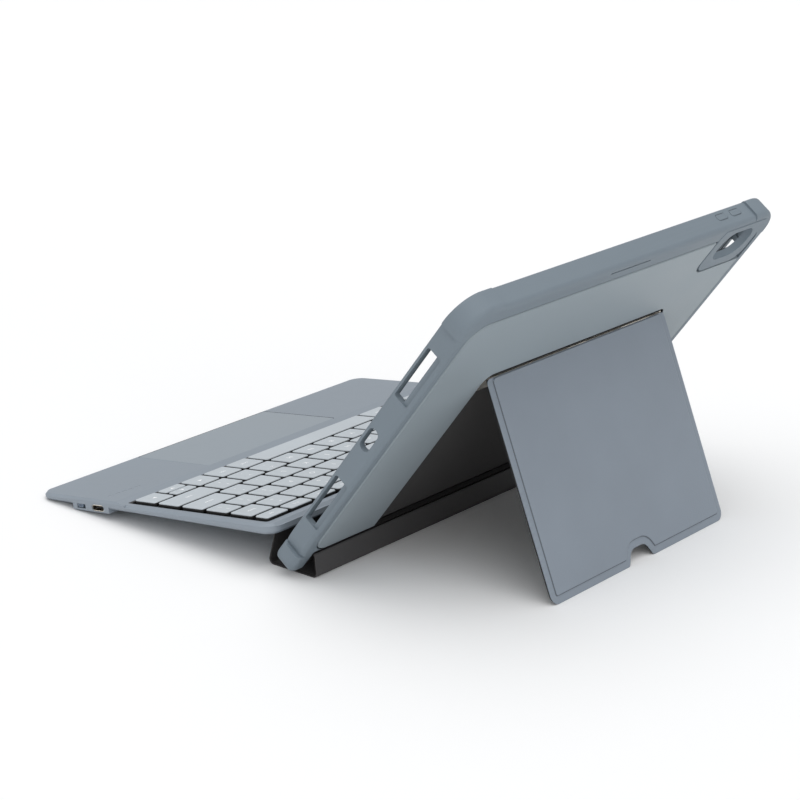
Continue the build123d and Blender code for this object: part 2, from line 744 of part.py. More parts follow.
fold_axis = to_row(
    keyboard_plane, 0, KEYBOARD_DEPTH - FOLD_INSET, bottom_m(KEYBOARD_DEPTH - FOLD_INSET) - FOLD_DROP
)
seam_axis = to_row(tray_plane, 0, SEAM_V, -SEAM_STANDOFF)
stand_axis = to_row(tray_plane, 0, STAND_AXIS_V, STAND_AXIS_N)


def offset_points(points, distance):
    """The same open path, moved sideways to its outer side."""
    moved = []
    for index, point in enumerate(points):
        before = points[max(index - 1, 0)]
        after = points[min(index + 1, len(points) - 1)]
        a = (point - before).normalized() if index else (after - point).normalized()
        b = (after - point).normalized() if index < len(points) - 1 else a
        turn = a.cross(b).X
        normal_a = Vector(0, a.Z, -a.Y)
        normal_b = Vector(0, b.Z, -b.Y)
        middle = (normal_a + normal_b).normalized()
        moved.append(point - middle * (distance / middle.dot(normal_a)))
    return moved


def spine_ribbon(offset, thickness, trim):
    """One layer of the spine, swept along its section."""
    floor = SPINE_THICKNESS / 2
    start = Vector(0, fold_axis.Y, fold_axis.Z)
    end = Vector(0, seam_axis.Y, seam_axis.Z)
    foot = Vector(0, SPINE_FOOT_Y, floor)
    heel = Vector(0, SPINE_HEEL_Y, floor)
    start = start + (foot - start).normalized() * trim
    end = end + (heel - end).normalized() * trim
    path_points = offset_points([start, foot, heel, end], offset)
    path = FilletPolyline(*path_points, radius=2.0 - offset)
    section = Plane(origin=path @ 0, x_dir=(1, 0, 0), z_dir=path % 0) * Rectangle(
        2 * SPINE_HALF_WIDTH, thickness
    )
    return sweep(section, path)


def make_spine_skin():
    skin = spine_ribbon(-(SPINE_THICKNESS - SPINE_SKIN) / 2, SPINE_SKIN, 0.0)
    half = SPINE_HALF_WIDTH
    bead_a = rod(BEAD_A, -half, half, fold_axis.Y, fold_axis.Z)
    bead_b = rod(BEAD_B, -half, half, seam_axis.Y, seam_axis.Z)
    return skin + bead_a + bead_b


def make_spine_lining():
    return spine_ribbon((SPINE_THICKNESS - SPINE_LINING) / 2, SPINE_LINING, 1.2)


def make_spine_stiffeners():
    """The flat board between the skin and the lining, under the tray."""
    half = SPINE_HALF_WIDTH - 2
    low = SPINE_SKIN
    high = SPINE_SKIN + SPINE_CORE
    return slab(-half, half, SPINE_FOOT_Y + 4, SPINE_HEEL_Y - 3.6, low, high)


# ------------------------------------------------------------------ placing and saving
# The kickstand opens until the inner lower edge of its skin meets the table.
corner = math.hypot(STAND_LENGTH, STAND_AXIS_N - SKIN_N[1])
corner_angle = math.degrees(math.atan2(STAND_AXIS_N - SKIN_N[1], STAND_LENGTH))
stand_slope = math.degrees(math.asin(stand_axis.Z / corner))
STAND_OPEN = 180.0 - TRAY_TILT - stand_slope - corner_angle

on_tray = tray_plane.location
on_keyboard = keyboard_plane.location
stand_swing = (
    Pos(0, STAND_AXIS_V, STAND_AXIS_N) * Rot(STAND_OPEN, 0, 0) * Pos(0, -STAND_AXIS_V, -STAND_AXIS_N)
)
on_stand = on_tray * stand_swing

nodes = {
    "bumper_frame": on_tray * make_bumper_frame(),
    "back_panel": on_tray * make_back_panel(),
    "recess_lining": on_tray * make_recess_lining(),
    "tray_lining": on_tray * make_tray_lining(),
    "case_magnets": on_tray * make_case_magnets(),
    "hinge_fixed_leaf": on_tray * make_fixed_leaf(),
    "hinge_pin": on_tray * make_hinge_pin(),
    "hinge_rivets": on_tray * make_rivets(STAND_AXIS_V - 8, RECESS_FLOOR - 0.5, PANEL_BACK),
    "power_button": on_tray * power_block(0.0),
    "kickstand_core": on_stand * make_kickstand_core(),
    "kickstand_skin": on_stand * make_kickstand_skin(),
    "kickstand_lining": on_stand * make_kickstand_lining(),
    "kickstand_magnets": on_stand * Compound(children=stand_magnet_slabs()),
    "kickstand_rivets": on_stand * make_rivets(STAND_AXIS_V - 7, CORE_N[0], CORE_N[1]),
    "hinge_moving_leaf": on_stand * make_moving_leaf(),
    "keyboard_top_cover": on_keyboard * make_keyboard_top_cover(),
    "keyboard_bottom_cover": on_keyboard * make_keyboard_bottom_cover(),
    "key_support_plate": on_keyboard * make_support_plate(),
    "key_membrane": on_keyboard * make_membrane(),
    "key_domes": on_keyboard * make_key_domes(),
    "key_scissors": on_keyboard * make_key_scissors(),
    "keyboard_magnets": on_keyboard * make_keyboard_magnets(),
    "touchpad_plate": on_keyboard * make_touchpad(),
    "touchpad_board": on_keyboard * make_touchpad_board(),
    "battery": on_keyboard * make_battery(),
    "main_board": on_keyboard * make_main_board(),
    "usb_socket_shell": on_keyboard * make_socket_shell(),
    "usb_socket_tongue": on_keyboard * make_socket_tongue(),
    "power_switch_body": on_keyboard * make_switch_body(),
    "power_switch_knob": on_keyboard * make_switch_knob(),
    "indicator_lights": on_keyboard * make_indicator_lights(),
    "rubber_feet": on_keyboard * make_rubber_feet(),
    "spine_outer_skin": make_spine_skin(),
    "spine_inner_lining": make_spine_lining(),
    "spine_stiffener": make_spine_stiffeners(),
}
for name, x in VOLUME_BUTTONS.items():
    nodes[name] = on_tray * volume_block(x, 0.0)
for name, caps in make_keys().items():
    nodes[name] = on_keyboard * caps

stand_foot = max(nodes["kickstand_skin"].bounding_box().max.Y, nodes["kickstand_core"].bounding_box().max.Y)
front_edge = nodes["keyboard_top_cover"].bounding_box().min.Y
front_edge = min(front_edge, nodes["keyboard_bottom_cover"].bounding_box().min.Y)
centre_shift = -(stand_foot + front_edge) / 2

os.makedirs("parts", exist_ok=True)
for name, shape in nodes.items():
    export_step(Pos(0, centre_shift, 0) * shape, f"parts/{name}.step")

print("stand foot height", round(nodes["kickstand_skin"].bounding_box().min.Z, 4))
print("nodes", len(nodes), "centre shift", round(centre_shift, 4), "stand open", round(STAND_OPEN, 3))
for label, point in (("fold", fold_axis), ("seam", seam_axis), ("stand", stand_axis)):
    print(label, "axis", round(point.Y + centre_shift, 4), round(point.Z, 4))
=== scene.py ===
import bmesh
import bpy
import json
import math
from mathutils import Matrix, Vector

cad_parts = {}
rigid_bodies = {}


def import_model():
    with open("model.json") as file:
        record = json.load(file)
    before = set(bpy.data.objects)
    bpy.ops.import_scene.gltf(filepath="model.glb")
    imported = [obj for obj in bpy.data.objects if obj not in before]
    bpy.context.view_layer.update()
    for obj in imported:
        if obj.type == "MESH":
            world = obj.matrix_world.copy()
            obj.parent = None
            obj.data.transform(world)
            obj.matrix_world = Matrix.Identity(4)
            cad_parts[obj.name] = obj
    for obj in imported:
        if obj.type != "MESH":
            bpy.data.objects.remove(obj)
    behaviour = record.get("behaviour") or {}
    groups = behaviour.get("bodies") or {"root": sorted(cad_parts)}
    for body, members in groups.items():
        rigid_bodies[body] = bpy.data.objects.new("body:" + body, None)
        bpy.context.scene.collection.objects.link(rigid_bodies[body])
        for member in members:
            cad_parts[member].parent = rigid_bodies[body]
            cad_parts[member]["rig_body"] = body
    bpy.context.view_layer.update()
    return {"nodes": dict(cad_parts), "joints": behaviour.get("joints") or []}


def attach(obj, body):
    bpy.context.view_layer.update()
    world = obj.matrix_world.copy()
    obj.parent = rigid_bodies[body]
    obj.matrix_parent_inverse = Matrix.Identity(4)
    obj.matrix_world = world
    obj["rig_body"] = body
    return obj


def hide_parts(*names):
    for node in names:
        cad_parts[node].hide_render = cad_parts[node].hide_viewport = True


# Looks for a tablet keyboard case: soft coated shell, leather-grained kickstand and spine,
# microfibre linings, satin keycaps with generic legends. Metres, in the CAD's own frame.

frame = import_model()
nodes = frame["nodes"]
joints = {joint["name"]: joint for joint in frame["joints"]}
MM = 0.001


# ------------------------------------------------------------------ working frames
class Place:
    """A working frame: three directions and an origin, read in millimetres."""

    def __init__(self, origin, x_dir, y_dir, z_dir):
        self.origin = Vector(origin)
        self.axes = [Vector(x_dir), Vector(y_dir), Vector(z_dir)]

    def point(self, x, y, z):
        return self.origin + MM * (x * self.axes[0] + y * self.axes[1] + z * self.axes[2])

    def local(self, point):
        away = Vector(point) - self.origin
        return Vector([away.dot(axis) / MM for axis in self.axes])


def joint_spot(name):
    return Vector(joints[name]["pos_m"])


ACROSS = Vector((1, 0, 0))
STAND_AXIS_V = 124.5
STAND_AXIS_N = 1.2
STAND_X = -2.0
FOLD_S = 160.5
KEYBOARD_WEDGE = math.radians(1.03)
KEYBOARD_FRONT_UNDERSIDE = -3.4
FOLD_DROP = 0.9
FOLD_M = KEYBOARD_FRONT_UNDERSIDE - FOLD_S * math.tan(KEYBOARD_WEDGE) - FOLD_DROP
KEY_TOP = 0.5
PANEL_EDGE_X = 123.2
PANEL_EDGE_V = 178.7

up_tray = -Vector(joints["volume_up_press"]["axis"]).normalized()
tray_front = ACROSS.cross(up_tray)
swing = joint_spot("kickstand_swing")
tray = Place(
    Vector((0, swing.y, swing.z)) - MM * (STAND_AXIS_V * up_tray + STAND_AXIS_N * tray_front),
    ACROSS, up_tray, tray_front,
)
deck_up = -Vector(joints["space_bar_press"]["axis"]).normalized()
deck_back = deck_up.cross(ACROSS)
fold = joint_spot("keyboard_fold")
deck = Place(
    Vector((0, fold.y, fold.z)) - MM * (FOLD_S * deck_back + FOLD_M * deck_up),
    ACROSS, deck_back, deck_up,
)
stand_shut = -math.radians(joints["kickstand_swing"]["range_deg"][0])
turn = Matrix.Rotation(stand_shut, 3, "X")
stand = Place(
    Vector((0, swing.y, swing.z))
    - MM * (STAND_AXIS_V * (turn @ up_tray) + STAND_AXIS_N * (turn @ tray_front)),
    ACROSS, turn @ up_tray, turn @ tray_front,
)
flat = Place((0, 0, 0), (1, 0, 0), (0, 1, 0), (0, 0, 1))


# ------------------------------------------------------------------ materials
def linked(tree, kind, inputs=None, **settings):
    """One shader node, its settings, and its inputs: a socket to link or a value to set."""
    node = tree.nodes.new(kind)
    for name, value in settings.items():
        setattr(node, name, value)
    for key, value in (inputs or {}).items():
        if isinstance(value, bpy.types.NodeSocket):
            tree.links.new(value, node.inputs[key])
        else:
            node.inputs[key].default_value = value
    return node


def ramp(tree, source, low, high, out_low, out_high):
    """A number stretched from one range to another, held at its ends."""
    node = linked(tree, "ShaderNodeMapRange", {0: source, 1: low, 2: high, 3: out_low, 4: out_high})
    return node.outputs[0]


def mixed(tree, factor, first, second):
    node = linked(
        tree, "ShaderNodeMix", {0: factor, 6: first, 7: second}, data_type="RGBA",
    )
    return node.outputs[2]


def tinted(colour, share):
    return tuple(min(1.0, c * share) for c in colour[:3]) + (1.0,)


def surface(name, colour, rough, metal=0.0, level=0.5, grain=(), mottle=(40.0, 0.06), sheen=0.0,
            coat=0.0, worn=0.0, painted_shade=None, streak=False, rough_spread=0.06):
    """A procedural finish.

    grain is a list of (kind, size in mm, height in mm); mottle is (scale, share of the colour);
    The painted shade is (colour, working frame, boxes): a dark colour painted in where shadow falls, in
    gaps, grooves, recesses and on sides turned from the light.
    """
    material = bpy.data.materials.new(name)
    material.use_nodes = True
    tree = material.node_tree
    shader = tree.nodes["Principled BSDF"]
    where = linked(tree, "ShaderNodeTexCoord").outputs["Object"]
    if streak:
        where = linked(tree, "ShaderNodeMapping", {"Vector": where, "Scale": (0.03, 1, 1)}).outputs[0]
    cloud = linked(
        tree, "ShaderNodeTexNoise", {"Vector": where, "Scale": mottle[0], "Detail": 4.0, "Roughness": 0.55},
    ).outputs["Fac"]
    base = mixed(
        tree, ramp(tree, cloud, 0.3, 0.7, 0, 1),
        tinted(colour, 1 - mottle[1]), tinted(colour, 1 + mottle[1]),
    )
    speck = linked(
        tree, "ShaderNodeTexNoise", {"Vector": where, "Scale": 2600.0, "Detail": 2.0},
    ).outputs["Fac"]
    base = mixed(tree, ramp(tree, speck, 0.35, 0.75, 0.0, 0.22), base, tinted(colour, 1 + 2.2 * mottle[1]))
    if worn:
        edge = linked(tree, "ShaderNodeNewGeometry").outputs["Pointiness"]
        base = mixed(tree, ramp(tree, edge, 0.52, 0.6, 0.0, worn), base, tinted(colour, 1.35))
    # Painted shade: inside the boxes the colour is swapped for a dark one that stands in for shadow.
    if painted_shade:
        base = mixed(tree, painted_shade_mask(tree, where, *painted_shade[1:]), base, painted_shade[0] + (1.0,))
    tree.links.new(base, shader.inputs["Base Color"])
    tree.links.new(
        ramp(tree, cloud, 0.3, 0.7, max(0.02, rough - rough_spread), min(1.0, rough + rough_spread)),
        shader.inputs["Roughness"],
    )
    normal = None
    for kind, size, height in grain:
        scale = 1 / (size * MM)
        if kind == "pebble":
            cell = linked(
                tree, "ShaderNodeTexVoronoi", {"Vector": where, "Scale": scale, "Smoothness": 0.8},
                feature="SMOOTH_F1",
            ).outputs["Distance"]
        elif kind == "weave":
            cell = linked(
                tree, "ShaderNodeTexWave", {"Vector": where, "Scale": scale / 6.28, "Distortion": 0.6},
                bands_direction="X",
            ).outputs["Fac"]
        else:
            cell = linked(
                tree, "ShaderNodeTexNoise", {"Vector": where, "Scale": scale, "Detail": 3.0},
            ).outputs["Fac"]
        bump = linked(tree, "ShaderNodeBump", {"Height": cell, "Strength": 1.0, "Distance": height * MM})
        if normal is not None:
            tree.links.new(normal, bump.inputs["Normal"])
        normal = bump.outputs[0]
    if normal is not None:
        tree.links.new(normal, shader.inputs["Normal"])
    shader.inputs["Metallic"].default_value = metal
    shader.inputs["Specular IOR Level"].default_value = level
    if sheen:
        shader.inputs["Sheen Weight"].default_value = sheen
        shader.inputs["Sheen Roughness"].default_value = 0.5
    if coat:
        shader.inputs["Coat Weight"].default_value = coat
        shader.inputs["Coat Roughness"].default_value = 0.25
    material.diffuse_color = tuple(colour) + (1.0,)
    return material


# The mask that places painted shade.
def painted_shade_mask(tree, where, place, boxes):
    """1 inside any of some boxes of a working frame, 0 elsewhere.

    A box is three (low, high) pairs in mm, with None where it has no limit.
    """
    shifted = linked(
        tree, "ShaderNodeVectorMath", {0: where, 1: tuple(place.origin)}, operation="SUBTRACT",
    ).outputs[0]
    along = [
        linked(
            tree, "ShaderNodeVectorMath", {0: shifted, 1: tuple(axis)}, operation="DOT_PRODUCT",
        ).outputs["Value"]
        for axis in place.axes
    ]
    total = None
    for box in boxes:
        share = None
        for reading, (low, high) in zip(along, box):
            for limit, test in ((low, "GREATER_THAN"), (high, "LESS_THAN")):
                if limit is None:
                    continue
                hit = linked(tree, "ShaderNodeMath", {0: reading, 1: limit * MM}, operation=test).outputs[0]
                share = hit if share is None else linked(
                    tree, "ShaderNodeMath", {0: share, 1: hit}, operation="MULTIPLY",
                ).outputs[0]
        total = share if total is None else linked(
            tree, "ShaderNodeMath", {0: total, 1: share}, operation="MAXIMUM",
        ).outputs[0]
    return total


SHELL = (0.172, 0.210, 0.243)
PANEL = (0.262, 0.308, 0.338)
STAND = (0.222, 0.257, 0.300)
DECK = (0.252, 0.290, 0.332)
INK = (0.013, 0.013, 0.015)
SHADE = (0.014, 0.013, 0.013)
# Painted shade for the sloping step inside the kickstand's raised border.
STAND_STEP_SHADE = (0.095, 0.112, 0.132)
ANY = (None, None)
FOOT_HALF = 118.3
GROOVE_INNER_X = 118.0
GROOVE_N = (0.5, 3.6)
MICROFIBRE = (0.020, 0.018, 0.018)

# Painted shade on the shell: the foot band along the tray's bottom edge and the walls of the groove round
# the panel are coloured dark in place of their shadow.
shell = surface("soft_shell", SHELL, 0.58, level=0.42, grain=[("noise", 0.35, 0.012), ("noise", 4.0, 0.02)],
                mottle=(26.0, 0.035), worn=0.10,
                painted_shade=(SHADE, tray, [
                    ((-FOOT_HALF, FOOT_HALF), (-1.0, 11.6), (None, 4.0)),
                    ((GROOVE_INNER_X, PANEL_EDGE_X), (None, PANEL_EDGE_V), GROOVE_N),
                    ((-PANEL_EDGE_X, -GROOVE_INNER_X), (None, 150.0), GROOVE_N),
                    ((-74.0, PANEL_EDGE_X), (174.5, PANEL_EDGE_V), GROOVE_N),
                ]))
# Painted shade on the panel: the kickstand recess below its rim and the band along the tray's bottom edge
# are coloured dark in place of the shadow there.
panel = surface("panel", PANEL, 0.5, level=0.45, grain=[("noise", 0.28, 0.010), ("noise", 9.0, 0.03)],
                mottle=(14.0, 0.03), painted_shade=(SHADE, tray, [
                    ((STAND_X - 76.2, STAND_X + 76.2), (None, 127.7), (0.24, None)),
                    ((-FOOT_HALF, FOOT_HALF), (None, 12.2), ANY),
                ]))
deck_skin = surface("deck", DECK, 0.47, level=0.45, grain=[("noise", 0.3, 0.010), ("noise", 6.0, 0.015)],
                    mottle=(18.0, 0.03))
# The deck finish again, with painted shade: the key well below the key block's rim and the touchpad's
# recess are coloured dark.
deck_top_with_painted_shade = surface("deck_top", DECK, 0.47, level=0.45,
                        grain=[("noise", 0.3, 0.010), ("noise", 6.0, 0.015)], mottle=(18.0, 0.03),
                        painted_shade=(SHADE, deck, [
                            ((-124.8, 124.8), (64.0, 158.0), (None, -0.35)),
                            ((-60.0, 70.0), (-1.0, 56.8), (None, -0.06)),
                        ]))
# Kickstand leather with painted shade on the step inside its border.
leather = surface("stand_leather", STAND, 0.52, level=0.42, worn=0.08,
                  grain=[("noise", 9.0, 0.05), ("pebble", 0.7, 0.035), ("noise", 0.2, 0.008)],
                  mottle=(22.0, 0.04),
                  painted_shade=(STAND_STEP_SHADE, stand, [(ANY, (None, 121.5), (-0.62, -0.185))]))
# The spine's leather is coloured far darker than the kickstand's: partly a darker leather, mostly painted
# shade for the dim space under the tilted tray.
spine_leather_painted_shade = surface("spine_leather_painted_shade", (0.058, 0.056, 0.057), 0.6, level=0.4, worn=0.1,
                        grain=[("pebble", 0.6, 0.04), ("noise", 0.2, 0.008)], mottle=(30.0, 0.06))
suede = surface("microfibre", MICROFIBRE, 0.95, level=0.15, sheen=0.12,
                grain=[("noise", 0.25, 0.06), ("noise", 3.0, 0.05)], mottle=(60.0, 0.25))
# Keycap plastic with painted shade: the caps' sides below the top rim are coloured dark, in place of the
# shadow in the gaps between keys.
cap_plastic = surface("keycap", (0.50, 0.545, 0.58), 0.4, level=0.5, grain=[("noise", 0.12, 0.006)],
                      mottle=(45.0, 0.025), worn=0.12,
                      painted_shade=(SHADE, deck, [(ANY, ANY, (None, KEY_TOP - 0.55))]))
ink = surface("legend", (0.93, 0.94, 0.95), 0.35, level=0.4, grain=[("noise", 0.1, 0.003)],
              mottle=(300.0, 0.02))
black = surface("dark_plastic", INK, 0.5, level=0.35, grain=[("noise", 0.3, 0.012)], mottle=(80.0, 0.2))
glass_pad = surface("touch_surface", (0.245, 0.292, 0.335), 0.3, level=0.55, coat=0.25,
                    grain=[("noise", 0.15, 0.003)], mottle=(9.0, 0.02), rough_spread=0.03)
steel = surface("steel", (0.80, 0.745, 0.655), 0.26, metal=1.0, grain=[("noise", 0.25, 0.006)],
                mottle=(900.0, 0.07), streak=True)
# The hinge steel again, with painted shade: the leaves above the hinge axis are coloured dark, in place of
# the shadow over the knuckles.
leaf_steel_painted_shade = surface("leaf_steel_painted_shade", (0.80, 0.745, 0.655), 0.26, metal=1.0, grain=[("noise", 0.25, 0.006)],
                     mottle=(900.0, 0.07), streak=True,
                     painted_shade=(SHADE, tray, [
                         (ANY, (STAND_AXIS_V + 0.6, None), ANY),
                     ]))
nickel = surface("magnet", (0.62, 0.62, 0.63), 0.22, metal=1.0, grain=[("noise", 0.5, 0.005)],
                 mottle=(120.0, 0.05))
brass = surface("contacts", (0.83, 0.58, 0.26), 0.24, metal=1.0, grain=[("noise", 0.2, 0.004)],
                mottle=(300.0, 0.06))
board = surface("board", (0.02, 0.10, 0.045), 0.35, level=0.5, coat=0.3,
                grain=[("weave", 1.2, 0.01), ("noise", 0.4, 0.008)], mottle=(700.0, 0.3))
foil = surface("cell", (0.36, 0.37, 0.39), 0.3, metal=0.8,
               grain=[("noise", 5.0, 0.08), ("noise", 0.6, 0.02)], mottle=(70.0, 0.1))
rubber = surface("rubber", (0.075, 0.08, 0.088), 0.8, level=0.3, grain=[("noise", 0.3, 0.03)],
                 mottle=(60.0, 0.12))
lamp = surface("lens", (0.265, 0.302, 0.345), 0.3, level=0.55, coat=0.2, grain=[("noise", 0.2, 0.003)],
               mottle=(200.0, 0.04))
FINISHES = {
    shell: ["bumper_frame", "power_button", "volume_up_button", "volume_down_button"],
    panel: ["back_panel"],
    deck_top_with_painted_shade: ["keyboard_top_cover"],
    deck_skin: ["keyboard_bottom_cover"],
    leather: ["kickstand_skin"],
    spine_leather_painted_shade: ["spine_outer_skin"],
    suede: ["recess_lining", "tray_lining", "kickstand_lining", "spine_inner_lining"],
    black: ["key_support_plate", "power_switch_body", "kickstand_core", "spine_stiffener"],
    glass_pad: ["touchpad_plate"],
    steel: ["hinge_pin", "kickstand_rivets", "usb_socket_shell"],
    leaf_steel_painted_shade: ["hinge_fixed_leaf", "hinge_moving_leaf", "hinge_rivets"],
    nickel: ["case_magnets", "keyboard_magnets", "kickstand_magnets"],
    board: ["touchpad_board", "main_board", "usb_socket_tongue"],
    foil: ["battery"],
    rubber: ["rubber_feet", "key_membrane", "key_domes"],
    lamp: ["indicator_lights", "key_scissors"],
}
finish_of = {name: material for material, names in FINISHES.items() for name in names}
for name, node in nodes.items():
    node.data.materials.clear()
    node.data.materials.append(finish_of.get(name, cap_plastic))


# ------------------------------------------------------------------ mesh making
def new_piece(name, points, faces, material, body, stands_for=(), sharp=38.0, tidy=True):
    """A mesh piece in the row frame, riding on a body."""
    mesh = bpy.data.meshes.new(name)
    mesh.from_pydata([tuple(p) for p in points], [], faces)
    mesh.update()
    if tidy:
        work = bmesh.new()
        work.from_mesh(mesh)
        bmesh.ops.recalc_face_normals(work, faces=work.faces)
        work.to_mesh(mesh)
        work.free()
    mesh.shade_smooth()
    mesh.set_sharp_from_angle(angle=math.radians(sharp))
    piece = bpy.data.objects.new(name, mesh)
    bpy.context.scene.collection.objects.link(piece)
    mesh.materials.append(material)
    smoother = piece.modifiers.new("even_shading", "WEIGHTED_NORMAL")
    smoother.keep_sharp = True
    if body:
        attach(piece, body)
    if stands_for:
        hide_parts(*stands_for)
    return piece


def inset_corners(corners, distances):
    """A polygon whose edges have moved inwards, each by its own distance. Edge i leaves corner i."""
    count = len(corners)
    lines = []
    for i in range(count):
        a = Vector(corners[i])
        b = Vector(corners[(i + 1) % count])
        along = (b - a).normalized()
        lines.append((a + Vector((-along.y, along.x)) * distances[i], along))
    moved = []
    for i in range(count):
        p, d = lines[i - 1]
        q, e = lines[i]
        cross = d.x * e.y - d.y * e.x
        reach = ((q.x - p.x) * e.y - (q.y - p.y) * e.x) / cross
        moved.append((p.x + d.x * reach, p.y + d.y * reach))
    return moved


def rounded(corners, radii, steps=6):
    """The outline of a polygon, anticlockwise, with an arc at each corner, hollow corners too."""
    outline = []
    count = len(corners)
    for i in range(count):
        here = Vector(corners[i])
        back = (Vector(corners[i - 1]) - here).normalized()
        ahead = (Vector(corners[(i + 1) % count]) - here).normalized()
        opening = back.angle(ahead)
        run = radii[i] / math.tan(opening / 2)
        middle = here + (back + ahead).normalized() * (radii[i] / math.sin(opening / 2))
        first = here + back * run - middle
        sweep = math.pi - opening
        if back.x * ahead.y - back.y * ahead.x > 0:
            sweep = -sweep
        for k in range(steps + 1):
            a = sweep * k / steps
            outline.append((
                middle.x + first.x * math.cos(a) - first.y * math.sin(a),
                middle.y + first.x * math.sin(a) + first.y * math.cos(a),
            ))
    return outline


def hollow_corner(corners, i):
    a, b, c = Vector(corners[i - 1]), Vector(corners[i]), Vector(corners[(i + 1) % len(corners)])
    return (b - a).x * (c - b).y - (b - a).y * (c - b).x < 0


def ring_of(place, corners, radii, inset, height, shares=None, steps=6):
    """One level of a layered solid: the outline inset by a distance, at a height."""
    shares = shares or [1.0] * len(corners)
    moved = inset_corners(corners, [inset * share for share in shares])
    rounds = []
    for i, radius in enumerate(radii):
        grow = inset if hollow_corner(corners, i) else -inset
        rounds.append(max(0.12, radius + grow * min(shares[i], shares[i - 1])))
    return [place.point(x, y, height) for x, y in rounded(moved, rounds, steps)]


def layered(rings, wrap=False):
    """A solid skin over a stack of rings of equal length: points and faces."""
    points = [p for ring in rings for p in ring]
    count = len(rings[0])
    faces = []
    for level in range(len(rings) - 1 + (1 if wrap else 0)):
        low = level * count
        high = ((level + 1) % len(rings)) * count
        for i in range(count):
            j = (i + 1) % count
            faces.append((low + i, low + j, high + j, high + i))
    if not wrap:
        faces.append(tuple(reversed(range(count))))
        faces.append(tuple(range(len(points) - count, len(points))))
    return points, faces


def joined(meshes):
    """Several (points, faces) as one."""
    points, faces = [], []
    for more_points, more_faces in meshes:
        start = len(points)
        points += list(more_points)
        faces += [tuple(start + i for i in face) for face in more_faces]
    return points, faces


def rectangle(x0, x1, y0, y1):
    return [(x0, y0), (x1, y0), (x1, y1), (x0, y1)]


def pad(place, box, radius, bottom, top, edge, steps=6):
    """A plate or block with rounded upright corners and softly rounded top and bottom edges."""
    corners = rectangle(*box)
    radii = [radius] * 4
    rings = []
    turns = [math.radians(30 * k) for k in range(4)]
    levels = [(1 - math.sin(a), bottom + edge * (1 - math.cos(a))) for a in turns]
    levels += [(1 - math.cos(a), top - edge * (1 - math.sin(a))) for a in turns]
    for share, height in levels:
        rings.append(ring_of(place, corners, radii, edge * share, height, steps=steps))
    return layered(rings)


def islands(node):
    """The separate closed skins of a CAD node, each as a list of points."""
    work = bmesh.new()
    work.from_mesh(nodes[node].data)
    bmesh.ops.remove_doubles(work, verts=work.verts, dist=1e-6)
    work.verts.ensure_lookup_table()
    seen = set()
    found = []
    for start in work.verts:
        if start.index in seen:
            continue
        group, todo = [], [start]
        seen.add(start.index)
        while todo:
            vertex = todo.pop()
            group.append(vertex.co.copy())
            for edge in vertex.link_edges:
                other = edge.other_vert(vertex)
                if other.index not in seen:
                    seen.add(other.index)
                    todo.append(other)
        found.append(group)
    work.free()
    return found


def local_box(points, place):
    inside = [place.local(p) for p in points]
    return [(min(p[k] for p in inside), max(p[k] for p in inside)) for k in range(3)]


# ------------------------------------------------------------------ keycaps and legends
CAP_WALL = 0.8
CAP_CEILING = 0.9
DISH = 0.16


def dished_cap(x0, x1, s0, s1, low, top):
    """A hollow keycap: soft upright corners, a rounded rim and a shallow dish on top."""
    corners = rectangle(x0, x1, s0, s1)
    radii = [1.5] * 4
    small = min(x1 - x0, s1 - s0) / 2
    levels = [(CAP_WALL, top - CAP_CEILING), (CAP_WALL, low)]
    levels += [(0.12, low), (0.0, low + 0.12), (0.12, top - 0.5)]
    levels += [(0.2, top - 0.24), (0.36, top - 0.08), (0.6, top)]
    levels += [(min(1.4, 0.45 * small), top - 0.04), (min(2.6, 0.7 * small), top - 0.11)]
    levels += [(min(3.6, 0.86 * small), top - DISH)]
    return layered([ring_of(deck, corners, radii, inset, height, steps=5) for inset, height in levels])


def glyphs(text, x, s, size, height):
    """A word or sign as a thin raised print, centred on a point of the keyboard's top."""
    curve = bpy.data.curves.new("print", "FONT")
    curve.body = text
    curve.size = size
    curve.extrude = 0.012
    curve.resolution_u = 3
    curve.align_x = "CENTER"
    holder = bpy.data.objects.new("print", curve)
    bpy.context.scene.collection.objects.link(holder)
    bpy.context.view_layer.update()
    mesh = bpy.data.meshes.new_from_object(holder)
    spots = [v.co.copy() for v in mesh.vertices]
    faces = [tuple(p.vertices) for p in mesh.polygons]
    bpy.data.objects.remove(holder)
    bpy.data.curves.remove(curve)
    bpy.data.meshes.remove(mesh)
    if not spots:
        return [], []
    middle = (min(p.y for p in spots) + max(p.y for p in spots)) / 2
    return [deck.point(x + p.x, s + p.y - middle, height + p.z) for p in spots], faces


def arrow(x, s, size, height, quarter_turns):
    """A small solid triangle as a raised print."""
    shape = [(-0.5, -0.4), (0.5, -0.4), (0.0, 0.5)]
    rings = []
    for rise in (-0.012, 0.012):
        ring = []
        for u, w in shape:
            for _ in range(quarter_turns):
                u, w = -w, u
            ring.append(deck.point(x + u * size, s + w * size, height + rise))
        rings.append(ring)
    return layered(rings)


LEGENDS = {
    "function_keys": ["F%d" % k for k in range(1, 13)] + ["del"],
    "number_keys": ["`~", "1!", "2@", "3#", "4$", "5%", "6^", "7&", "8*", "9(", "0)", "-_", "=+"],
    "upper_letter_keys": list("QWERTYUIOP") + ["[{", "]}", "\\|"],
    "home_letter_keys": list("ASDFGHJKL") + [";:", "'\""],
    "lower_letter_keys": list("ZXCVBNM") + [",<", ".>", "/?"],
    "modifier_keys": ["fn", "ctrl", "opt", "cmd", "cmd", "opt"],
    "escape_key": ["esc"],
    "backspace_key": ["back"],
    "tab_key": ["tab"],
    "caps_lock_key": ["caps lock"],
    "enter_key": ["enter"],
    "left_shift_key": ["shift"],
    "right_shift_key": ["shift"],
    "space_bar": [""],
    "left_arrow_key": ["<1"],
    "up_arrow_key": ["<0"],
    "down_arrow_key": ["<2"],
    "right_arrow_key": ["<3"],
}


